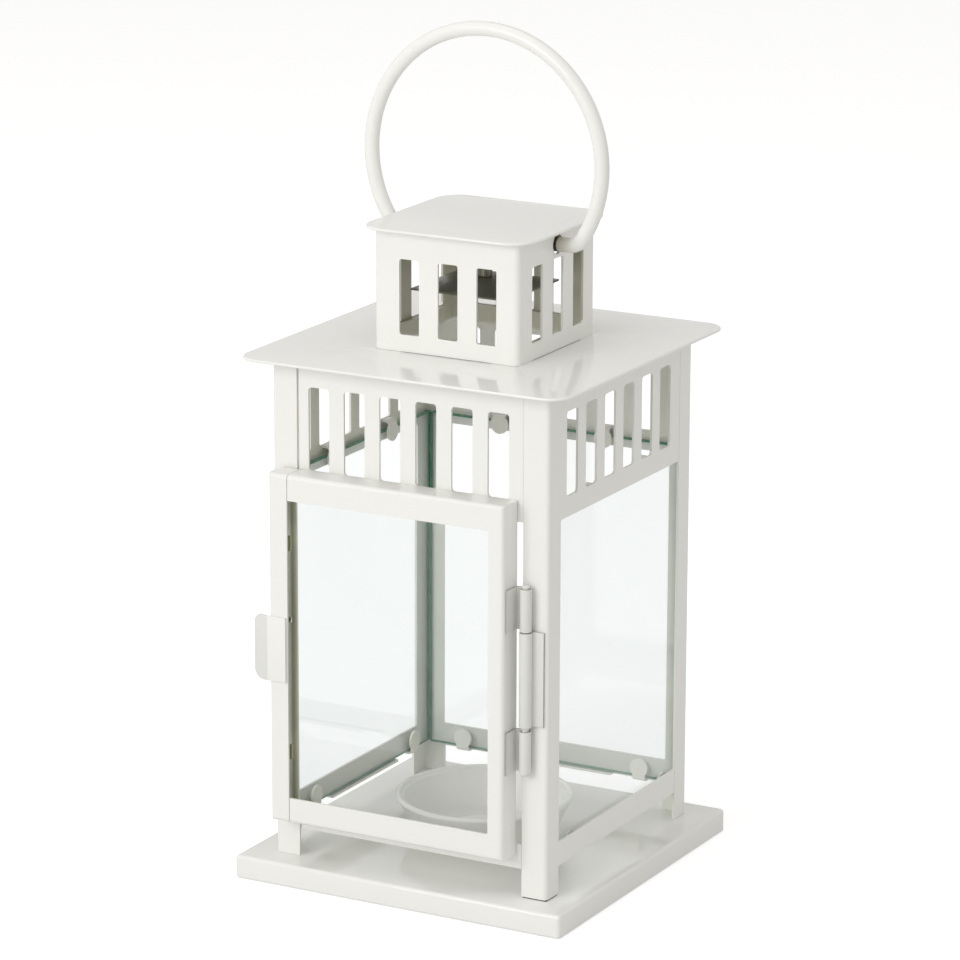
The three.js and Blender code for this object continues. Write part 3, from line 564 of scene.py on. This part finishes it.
def makeCup():
    # a profile turned about the axis: floor with a pressed ring, fillet, leaning wall, a shoulder out to a
    # narrow lip, the rolled bead, and back down the outside
    sizes = {"footRadius": 23.0, "mouthRadius": 27.4, "wall": 0.8, "around": 112,
             "ringRadius": 14.0, "ringWidth": 1.6, "ringDepth": 0.35, "ringSteps": 9,
             "fillet": 2.2, "filletShift": 0.6, "filletSteps": 7,
             "lip": 1.3, "lipDrop": 0.95, "shoulder": 0.45, "shoulderSteps": 6,
             "bead": 0.9, "beadStart": 176, "beadEnd": -70, "beadSteps": 16}
    low, high = boxOf("candle_cup")
    foot, rim, floor = low[2], high[2], low[2] + sizes["wall"]
    fillet, bend, bead = sizes["fillet"], sizes["shoulder"], sizes["bead"]
    beadMiddle = (high[0] - bead, rim - bead)
    lean = math.degrees(math.atan2(beadMiddle[1] - foot, sizes["mouthRadius"] - sizes["footRadius"]))
    across = np.linspace(-1, 1, sizes["ringSteps"])
    ring = np.stack([sizes["ringRadius"] + sizes["ringWidth"] * across,
                     floor + sizes["ringDepth"] * np.cos(across * np.pi / 2) ** 2], -1)
    inside = sizes["footRadius"] - sizes["wall"] - fillet + sizes["filletShift"]
    inFillet = arc((inside, floor + fillet), fillet, -90, lean - 90, sizes["filletSteps"])
    shoulderMiddle = (high[0] - 2 * bead - sizes["lip"] + bend, rim - sizes["lipDrop"] - bend)
    shoulder = arc(shoulderMiddle, bend, lean + 90, 90, sizes["shoulderSteps"])
    curl = arc(beadMiddle, bead, sizes["beadStart"], sizes["beadEnd"], sizes["beadSteps"])
    outside = (sizes["footRadius"] - fillet, foot + fillet)
    outFillet = arc(outside, fillet, lean - 90, -90, sizes["filletSteps"])
    profile = np.concatenate([[(pole, floor)], ring, inFillet, shoulder, curl, outFillet, [(pole, foot)]])
    points = turned(profile, sizes["around"])
    makePiece("cupPressing", points, cappedFaces(points), [sheetPaint], "candle_cup", 50)


makeBase()
makeCup()
makeRoof()
makeCap()
print("base, cup, roof and cap made")


def moved(x=0.0, y=0.0, z=0.0):
    # how far each point goes along each axis; the functions that settle a sheet are given all its points'
    # places and hand this back
    return np.stack(np.broadcast_arrays(x, y, z), -1).astype(float)


def rightEndCloses(x, y, z):
    # the bend at the strip's right end is pressed up to the post, so its seam hardly shows
    sizes = {"bend": (40, 40.4), "bendStep": 0.62, "foot": (40.7, 41), "footStep": 0.12}
    bend, foot = ((x > sizes[part][0]) & (x < sizes[part][1]) for part in ("bend", "foot"))
    return moved(x=sizes["bendStep"] * bend + sizes["footStep"] * foot)


def footStandsOff(x, y, z):
    # the right foot in front stands a hair over the base
    sizes = {"footTop": 8, "frontBefore": -40, "gap": 0.28}
    return moved(z=sizes["gap"] * ((z < sizes["footTop"]) & (y < sizes["frontBefore"])))


def sideReachesBack(x, y, z):
    # the flange on the hinge side comes close to the post
    sizes = {"sideFrom": 38, "rimFrom": -51.3, "reach": 0.85}
    return moved(y=sizes["reach"] * ((x > sizes["sideFrom"]) & (y > sizes["rimFrom"])))


def holesWiden(x, y, z):
    # the handle's holes are worn wider, and the turret's foot sits close on the roof
    sizes = {"holeHeight": 209.75, "holeRadius": 3.1, "wear": 0.13, "footTop": 176, "footDrop": 0.03}
    up = z - sizes["holeHeight"]
    wear = sizes["wear"] * (np.hypot(y, up) < sizes["holeRadius"])
    return moved(y=wear * y, z=wear * up - sizes["footDrop"] * (z < sizes["footTop"]))


# the dark olive of the painted shade behind the closed door
coveredShadeColour = (0.37, 0.355, 0.18)
doorLow, doorHigh = boxOf("door_frame")
stileLeft, stileFace = boxOf("door_left_stile")[0][:2]
postFace = boxOf("left_side_panel")[0][1]
# painted shade on the tabs behind the door's pane, between the rails
stileShadePaint = coveredShadePaintOf("stileShadePaint", enamel, {
    "colour": coveredShadeColour,
    "fades": (("Y", 0, 1, stileFace + 1.2, stileFace + 1.6),
              ("X", 0, 1, stileLeft + 1.0, stileLeft + 1.3),
              ("Z", 0, 1, doorLow[2] + 9, doorLow[2] + 9.5),
              ("Z", 1, 0, doorHigh[2] - 9.5, doorHigh[2] - 9)),
})
# painted shade on the edge of the left post that the closed door's stile covers
postShadePaint = coveredShadePaintOf("postShadePaint", enamel, {
    "colour": coveredShadeColour,
    "fades": (("Y", 1, 0, postFace + 0.85, postFace + 1.0),
              ("X", 0, 1, stileLeft + 2.9, stileLeft + 3.5),
              ("X", 1, 0.4, stileLeft + 4.1, stileLeft + 5.5),
              ("Z", 0, 1, doorLow[2] + 0.5, doorLow[2] + 3),
              ("Z", 1, 0, doorHigh[2] - 3, doorHigh[2] - 0.5)),
})
# each sheet's node: piece, rounding of its edges, outer paint, painted shade of its inner faces, what
# moves its points; the left post's and the stile's outer paints hold painted shade too
foldedSheets = {
    "left_side_panel": ("leftPanelSheet", 0.16, postShadePaint, insideShadePaint, None),
    "right_side_panel": ("rightPanelSheet", 0.16, sheetPaint, insideShadePaint, footStandsOff),
    "back_panel": ("backPanelSheet", 0.16, sheetPaint, backInsideShadePaint, None),
    "front_upper_panel": ("frontBandSheet", 0.16, sheetPaint, insideShadePaint, rightEndCloses),
    "front_bottom_rail": ("frontRailSheet", 0.16, sheetPaint, insideShadePaint, rightEndCloses),
    "turret": ("turretSheet", 0.12, sheetPaint, turretInsideShadePaint, holesWiden),
    "door_frame": ("doorFrameSheet", 0.18, sheetPaint, insideShadePaint, sideReachesBack),
    "door_left_stile": ("doorStileSheet", 0.18, stileShadePaint, insideShadePaint, None),
}
for nodeName, (pieceName, rounding, facing, innerShadePaint, settle) in foldedSheets.items():
    softCopy(pieceName, nodeName, rounding, facing, innerShadePaint, settle)
print("folded sheets softened")


def makeShield():
    # height over the rim = rise (1 - u u)(1 - v v), with u and v from -1 to 1 across the sheet
    sizes = {"rise": 2.6, "sheet": 0.6, "cells": 48}
    low, high = boxOf("heat_shield")
    half, count = high[0], sizes["cells"] + 1
    u, v = np.meshgrid(*[np.linspace(-1, 1, count)] * 2, indexing="ij")
    height = low[2] + sizes["rise"] * (1 - u ** 2) * (1 - v ** 2)
    points = [np.stack([u * half, v * half, height + lift], -1) for lift in (sizes["sheet"], 0)]
    # the upper face, the lower face turned over, and a wall round the rim between them
    number = np.arange(count * count).reshape(count, count)
    rim = np.concatenate([number[:-1, 0], number[-1, :-1], number[:0:-1, -1], number[0, :0:-1]])
    nextRim = np.roll(rim, -1)
    under = count * count
    upper = np.array(gridFaces(count, count))
    lower = upper[:, ::-1] + under
    wall = np.stack([rim + under, nextRim + under, nextRim, rim], -1)
    faces = np.concatenate([upper, lower, wall]).tolist()
    makePiece("shieldDish", points, faces, [darkSteel], "heat_shield", 50)


def makeRivet():
    # a turned profile: a low dome under the sheet, the shank through it, and the spacer up to the cap
    sizes = {"head": 2.8, "headEnd": -8, "dome": 0.558, "shank": 1.4, "shankFoot": 0.594, "spacer": 2.4,
             "clearance": 0.06, "ease": 0.15, "domeSteps": 9, "around": 40}
    low, high = boxOf("heat_shield_rivet")
    shank, spacer, ease = sizes["shank"], sizes["spacer"], sizes["ease"]
    foot, top = boxOf("heat_shield")[1][2] + sizes["clearance"], high[2]
    turn = np.radians(np.linspace(-90, sizes["headEnd"], sizes["domeSteps"]))
    rise = 1 - np.cos(np.linspace(0, np.pi / 2, sizes["domeSteps"]))
    dome = np.stack([np.maximum(sizes["head"] * np.cos(turn), pole), low[2] + sizes["dome"] * rise], -1)
    body = [(shank, low[2] + sizes["shankFoot"]), (shank, foot), (spacer - ease, foot), (spacer, foot + ease),
            (spacer, top - ease), (spacer - ease, top), (pole, top)]
    points = turned(np.concatenate([dome, body]), sizes["around"])
    makePiece("shieldRivet", points, cappedFaces(points), [bareSteel], "heat_shield_rivet")


makeShield()
makeRivet()
print("heat shield made")


def makePane(name, node, across):
    # a slab with ground edges; across is the axis through its thickness
    sizes = {"corner": 0.8, "arris": 0.5, "cornerSteps": 6}
    low, high = boxOf(node)
    middle, half = (low + high) / 2, (high - low) / 2
    first, second = [k for k in range(3) if k != across]
    a, b, thick = half[first], half[second], half[across]
    corner, arris = sizes["corner"], sizes["arris"]
    inset = (a - arris, b - arris, corner - arris)
    rings = [(*inset, -thick), (a, b, corner, arris - thick), (a, b, corner, thick - arris), (*inset, thick)]
    flat = roundedRings(rings, sizes["cornerSteps"])
    points = np.empty_like(flat)
    points[..., [first, second, across]] = flat
    faces = cappedFaces(points)
    # the last two faces are the pane's sides, all others its rim
    onRim = [1] * (len(faces) - 2) + [0, 0]
    makePiece(name, points + middle, faces, [paneGlass, glassEdge], node, 20, onRim)


for pieceName, nodeName, across in (("leftPane", "left_glass", 0), ("rightPane", "right_glass", 0),
                                    ("backPane", "back_glass", 1), ("doorPane", "door_glass", 1)):
    makePane(pieceName, nodeName, across)
print("panes made")


# the pin's axis, how far each leaf rolls round it from the back in degrees, and the roll's points
hinge = {"axis": (43.55, -52.8), "turn": 312, "turnSteps": 50}


def makeLeaf(name, node, path, thickness):
    # a strip of sheet along a flat path, as high as its node; its cut ends and edges get a painted shade
    sizes = {"step": 0.22, "edge": 0.16, "edgeShade": 0.1}
    low, high = boxOf(node)
    middle, half = (low[2] + high[2]) / 2, (high[2] - low[2]) / 2
    path = evenly(path, sizes["step"])
    line = np.column_stack([path, np.full(len(path), middle)])
    points = carried(line, sheetSection(thickness, 2 * half, sizes["edge"]), (0, 0, 1))
    faces = cappedFaces(points)
    away = points[..., 2].ravel() - middle
    edgeAt = half - sizes["edgeShade"]
    onEdge = [int(len(face) > 4 or abs(away[face].mean()) > edgeAt) for face in faces]
    makePiece(name, points, faces, [hingeAndWingShadePaint, hingeEdgeShadePaint], node, 40, onEdge)


def makeBodyLeaf():
    # flat on the post, a slight step, then a roll from the back over the left and the front
    sizes = {"sheet": 0.8, "roll": 2.05, "stepStart": 3.0, "stepEnd": 0.4, "stepCount": 9, "endGap": 0.02}
    axis, high = hinge["axis"], boxOf("body_hinge_leaf")[1]
    radius, leafLine = sizes["roll"] - sizes["sheet"] / 2, high[1] - sizes["sheet"] / 2
    share = np.linspace(0, 1, sizes["stepCount"])
    stepX = axis[0] + sizes["stepStart"] + (sizes["stepEnd"] - sizes["stepStart"]) * share
    stepY = leafLine + (axis[1] + radius - leafLine) * (3 * share ** 2 - 2 * share ** 3)
    start = [[high[0] - sizes["endGap"], leafLine]]
    roll = arc(axis, radius, 90, 90 + hinge["turn"], hinge["turnSteps"])
    path = np.concatenate([start, np.stack([stepX, stepY], -1), roll])
    makeLeaf("bodyLeafRoll", "body_hinge_leaf", path, sizes["sheet"])


def makeDoorLeaf(name, node):
    # back along the door's side, round a bend to the pin, then a roll from the back over the right and the
    # front
    sizes = {"sheet": 0.6, "roll": 1.9, "side": 39.1, "bend": 0.8, "bendSteps": 8, "endGap": 0.02}
    axis, bend = hinge["axis"], sizes["bend"]
    radius, side = sizes["roll"] - sizes["sheet"] / 2, sizes["side"] + sizes["sheet"] / 2
    start = [[side, boxOf(node)[0][1] + sizes["endGap"]]]
    corner = arc((side + bend, axis[1] + radius - bend), bend, 180, 90, sizes["bendSteps"])
    roll = arc(axis, radius, 90, 90 - hinge["turn"], hinge["turnSteps"])
    makeLeaf(name, node, np.concatenate([start, corner, roll]), sizes["sheet"])


def makePin():
    # a turned rod with an eased foot and a low dome on its head
    sizes = {"radius": 1.15, "ease": 0.35, "head": 1.35, "headEase": 0.1, "headHeight": 1.0, "dome": 0.7,
             "domeSteps": 7, "around": 36}
    low, high = boxOf("hinge_pin")
    radius, ease, foot, neck = sizes["radius"], sizes["ease"], low[2], high[2] - sizes["headHeight"]
    turn = np.linspace(0, np.pi / 2, sizes["domeSteps"])
    domeHeight = high[2] + sizes["dome"] * (np.sin(turn) - 1)
    dome = np.stack([np.maximum(sizes["head"] * np.cos(turn), pole), domeHeight], -1)
    rod = [(pole, foot), (radius - ease, foot), (radius, foot + ease), (radius, neck),
           (sizes["head"] - sizes["headEase"], neck)]
    points = turned(np.concatenate([rod, dome]), sizes["around"]) + (*hinge["axis"], 0)
    makePiece("hingePinRod", points, cappedFaces(points), [hingeAndWingShadePaint], "hinge_pin")


makeBodyLeaf()
makeDoorLeaf("upperLeafRoll", "door_hinge_leaf_upper")
makeDoorLeaf("lowerLeafRoll", "door_hinge_leaf_lower")
makePin()
print("hinge made")


def makeLatch():
    # a strip across the stile whose height shrinks in a quarter circle towards the wing's end
    sizes = {"sheet": 0.9, "flat": 7.5, "wing": 5.1, "lean": 20.0, "bend": 2.0, "bendSteps": 8,
             "corner": 3.0, "edge": 0.2, "step": 0.12, "wingShade": 0.8}
    low, high = boxOf("door_latch_tab")
    lean, bend, corner = math.radians(sizes["lean"]), sizes["bend"], sizes["corner"]
    root, front = high[0] - sizes["flat"], low[1] + sizes["sheet"] / 2
    tip = [[root - sizes["wing"] * math.cos(lean), front + sizes["wing"] * math.sin(lean)]]
    fold = arc((root + bend * math.tan(lean / 2), front + bend), bend, -90 - sizes["lean"], -90,
               sizes["bendSteps"])
    path = evenly(np.concatenate([tip, fold, [[high[0], front]]]), sizes["step"])
    middle, half = (low[2] + high[2]) / 2, (high[2] - low[2]) / 2
    short = np.clip(corner - reachAlong(path), 0, corner)
    spread = (half - corner + np.sqrt(corner ** 2 - short ** 2)) / half
    line = np.column_stack([path, np.full(len(path), middle)])
    points = carried(line, sheetSection(sizes["sheet"], 2 * half, sizes["edge"]), (0, 0, 1), spread)
    faces = cappedFaces(points)
    across = points[..., 0].ravel()
    # painted shade on the wing, which is bent back away from the light
    onWing = [int(across[face].mean() < root + sizes["wingShade"]) for face in faces]
    makePiece("latchPlate", points, faces, [sheetPaint, hingeAndWingShadePaint], "door_latch_tab", 40,
              onWing)


def makeStud():
    # a turned pin with a shallow waist and a round nose, laid along the Y axis
    sizes = {"radius": 1.0, "waist": 0.88, "waistStart": 1.2, "startSlope": 0.15, "waistEnd": 2.2,
             "endSlope": 0.2, "tip": 0.5, "tipSteps": 6, "around": 28}
    low, high = boxOf("door_catch_stud")
    middle, length = (low + high) / 2, high[1] - low[1]
    radius, waist, tip = sizes["radius"], sizes["waist"], sizes["tip"]
    start, end = sizes["waistStart"], length - sizes["waistEnd"]
    shank = [(pole, 0), (radius, 0), (radius, start), (waist, start + sizes["startSlope"]), (waist, end),
             (radius, end + sizes["endSlope"])]
    nose = arc((radius - tip, length - tip), tip, 0, 90, sizes["tipSteps"])
    upright = turned(np.concatenate([shank, nose, [(pole, length)]]), sizes["around"])
    points = upright[..., [0, 2, 1]] + (middle[0], low[1], middle[2])
    makePiece("catchStud", points, cappedFaces(points), [bareSteel], "door_catch_stud")


makeLatch()
makeStud()
print("latch made")


def makeHandle():
    # a round rod along: pivot stub, small bend, open ring, small bend, pivot stub
    sizes = {"rod": 2.4, "ring": 41.85, "rise": 25.2, "bend": 5.0, "inner": 22.65, "chamfer": 0.5,
             "bendSteps": 24, "ringSteps": 160, "step": 1.0, "around": 36}
    high = boxOf("carry_handle")[1]
    rod, radius, small = sizes["rod"], sizes["ring"], sizes["bend"]
    ringMiddle = high[2] - rod - radius
    pivot = ringMiddle - sizes["rise"]
    bendX, bendHeight = math.sqrt((radius - small) ** 2 - (sizes["rise"] - small) ** 2), pivot + small
    meet = math.degrees(math.atan2(bendHeight - ringMiddle, bendX))
    bend = arc((bendX, bendHeight), small, -90, meet, sizes["bendSteps"])
    ring = arc((0, ringMiddle), radius, meet, 90, sizes["ringSteps"])
    half = np.concatenate([[[sizes["inner"], pivot]], bend, ring[1:]])
    line = evenly(np.concatenate([half, (half * [-1, 1])[::-1][1:]]), sizes["step"])
    path = np.column_stack([line[:, 0], np.zeros(len(line)), line[:, 1]])
    circle = arc((0, 0), rod, 0, 360, sizes["around"] + 1)[:-1]
    tube = carried(path, circle, (0, 1, 0))
    # each end closes over a small chamfer
    shrink, chamfer = 1 - sizes["chamfer"] / rod, (sizes["chamfer"], 0, 0)
    starts, ends = (path[end] + (tube[end] - path[end]) * shrink for end in (0, -1))
    tube[0] += chamfer
    tube[-1] -= chamfer
    points = np.concatenate([starts[None], tube, ends[None]])
    makePiece("carryRing", points, cappedFaces(points), [stubShadedRodPaint], "carry_handle", 40)


makeHandle()
print("handle made")


def seenShare(tree, direct, mirrored):
    # a strength for rays that look at the studio straight or through glass, another for reflections, and
    # none for light
    paths = addNode(tree, "ShaderNodeLightPath").outputs
    looking = mathOf(tree, "MAXIMUM", paths["Is Camera Ray"], paths["Is Transmission Ray"])
    return mathOf(tree, "MAXIMUM", mathOf(tree, "MULTIPLY", looking, direct),
                  mathOf(tree, "MULTIPLY", paths["Is Glossy Ray"], mirrored))


def makeStageSheet(name, corners, look):
    # a matt sheet of the studio, lifted to white where the camera looks at it
    mesh = bpy.data.meshes.new(name)
    mesh.from_pydata(corners, [], [(0, 1, 2, 3)])
    sheet = bpy.data.objects.new(name, mesh)
    bpy.context.scene.collection.objects.link(sheet)
    material, tree, shader = newMaterial(name + "Paper")
    shader.inputs["Base Color"].default_value = (*look["colour"], 1)
    shader.inputs["Roughness"].default_value = 0.9
    shader.inputs["Specular IOR Level"].default_value = 0.0
    glow = addNode(tree, "ShaderNodeEmission")
    tree.links.new(seenShare(tree, look["lift"], look["mirrorLift"]), glow.inputs["Strength"])
    surfaceFrom(tree, "ShaderNodeAddShader", shader.outputs[0], glow.outputs[0])
    mesh.materials.append(material)


def makeFloor():
    # the pale floor, a hair under the lantern
    look = {"half": 4.0, "height": -0.0002, "colour": (0.80, 0.80, 0.80), "lift": 0.50, "mirrorLift": 0.25}
    half, height = look["half"], look["height"]
    outline = ((-half, -half), (half, -half), (half, half), (-half, half))
    makeStageSheet("floor", [(x, y, height) for x, y in outline], look)


def makeCard():
    # a grey card behind the lantern, as the camera sees it, whose reflection tones the roof and the base
    look = {"behind": (-0.479, 0.878), "distance": 2.3, "half": 2.6, "bottom": 0.3, "top": 2.4,
            "colour": (0.40, 0.40, 0.39), "lift": 0.75, "mirrorLift": 0.52}
    behind, bottom, top = np.array(look["behind"]), look["bottom"], look["top"]
    middle, side = behind * look["distance"], behind[::-1] * (1, -1) * look["half"]
    left, right = (middle - side).tolist(), (middle + side).tolist()
    makeStageSheet("card", [(*left, bottom), (*right, bottom), (*right, top), (*left, top)], look)


def makeWorld():
    # the room is brighter to look at, straight or mirrored, than the light that it gives
    look = {"colour": (1, 0.991, 0.966), "seen": 1.0, "light": 0.67}
    world = bpy.data.worlds.new("studio")
    world.use_nodes = True
    bpy.context.scene.world = world
    tree = world.node_tree
    background = tree.nodes["Background"]
    background.inputs["Color"].default_value = (*look["colour"], 1)
    extra = look["seen"] - look["light"]
    tree.links.new(mathOf(tree, "ADD", seenShare(tree, extra, extra), look["light"]),
                   background.inputs["Strength"])


def addLamp(name, look):
    # a square lamp turned to its aim, sizes in metres and power in watts
    lamp = bpy.data.lights.new(name, "AREA")
    lamp.shape = "SQUARE"
    lamp.size = look["size"]
    lamp.energy = look["power"]
    lampObject = bpy.data.objects.new(name, lamp)
    bpy.context.scene.collection.objects.link(lampObject)
    lampObject.location = look["place"]
    lampObject.rotation_mode = "QUATERNION"
    towards = Vector(look["aim"]) - Vector(look["place"])
    lampObject.rotation_quaternion = towards.to_track_quat("-Z", "Y")


def makeCamera():
    # the picture's view: turned about the upright axis, tilted down a little, from a metre and a half away;
    # the focal length is given in the picture's pixels
    view = {"azimuth": 28.5866, "elevation": 15.0468, "roll": 0.1623, "distance": 1.54214,
            "target": (0, 0, 0.128571), "shift": (-0.001489, -0.000127), "focal": 4736.452, "pixels": 960,
            "sensor": 36, "near": 0.05, "far": 30}
    azimuth, elevation, roll = (math.radians(view[k]) for k in ("azimuth", "elevation", "roll"))
    back = Vector((math.sin(azimuth) * math.cos(elevation), -math.cos(azimuth) * math.cos(elevation),
                   math.sin(elevation)))
    level = Vector((math.cos(azimuth), math.sin(azimuth), 0))
    up = back.cross(level)
    right = level * math.cos(roll) + up * math.sin(roll)
    top = up * math.cos(roll) - level * math.sin(roll)
    data = bpy.data.cameras.new("camera")
    data.sensor_width = view["sensor"]
    data.lens = view["focal"] * view["sensor"] / view["pixels"]
    data.clip_start, data.clip_end = view["near"], view["far"]
    camera = bpy.data.objects.new("camera", data)
    bpy.context.scene.collection.objects.link(camera)
    aside, above = view["shift"]
    place = Vector(view["target"]) + back * view["distance"] + right * aside + top * above
    turn = Matrix((right, top, back)).transposed().to_4x4()
    camera.matrix_world = Matrix.Translation(place) @ turn
    bpy.context.scene.camera = camera


makeFloor()
makeCard()
makeWorld()
addLamp("keyLamp", {"place": (-0.45, -1.66, 0.80), "aim": (0, 0, 0.12), "size": 0.9, "power": 11.0})
addLamp("topLamp", {"place": (-0.10, -0.20, 1.75), "aim": (0, 0, 0.15), "size": 1.0, "power": 3.0})
makeCamera()
bpy.context.scene.view_settings.view_transform = "Standard"
print("studio made")
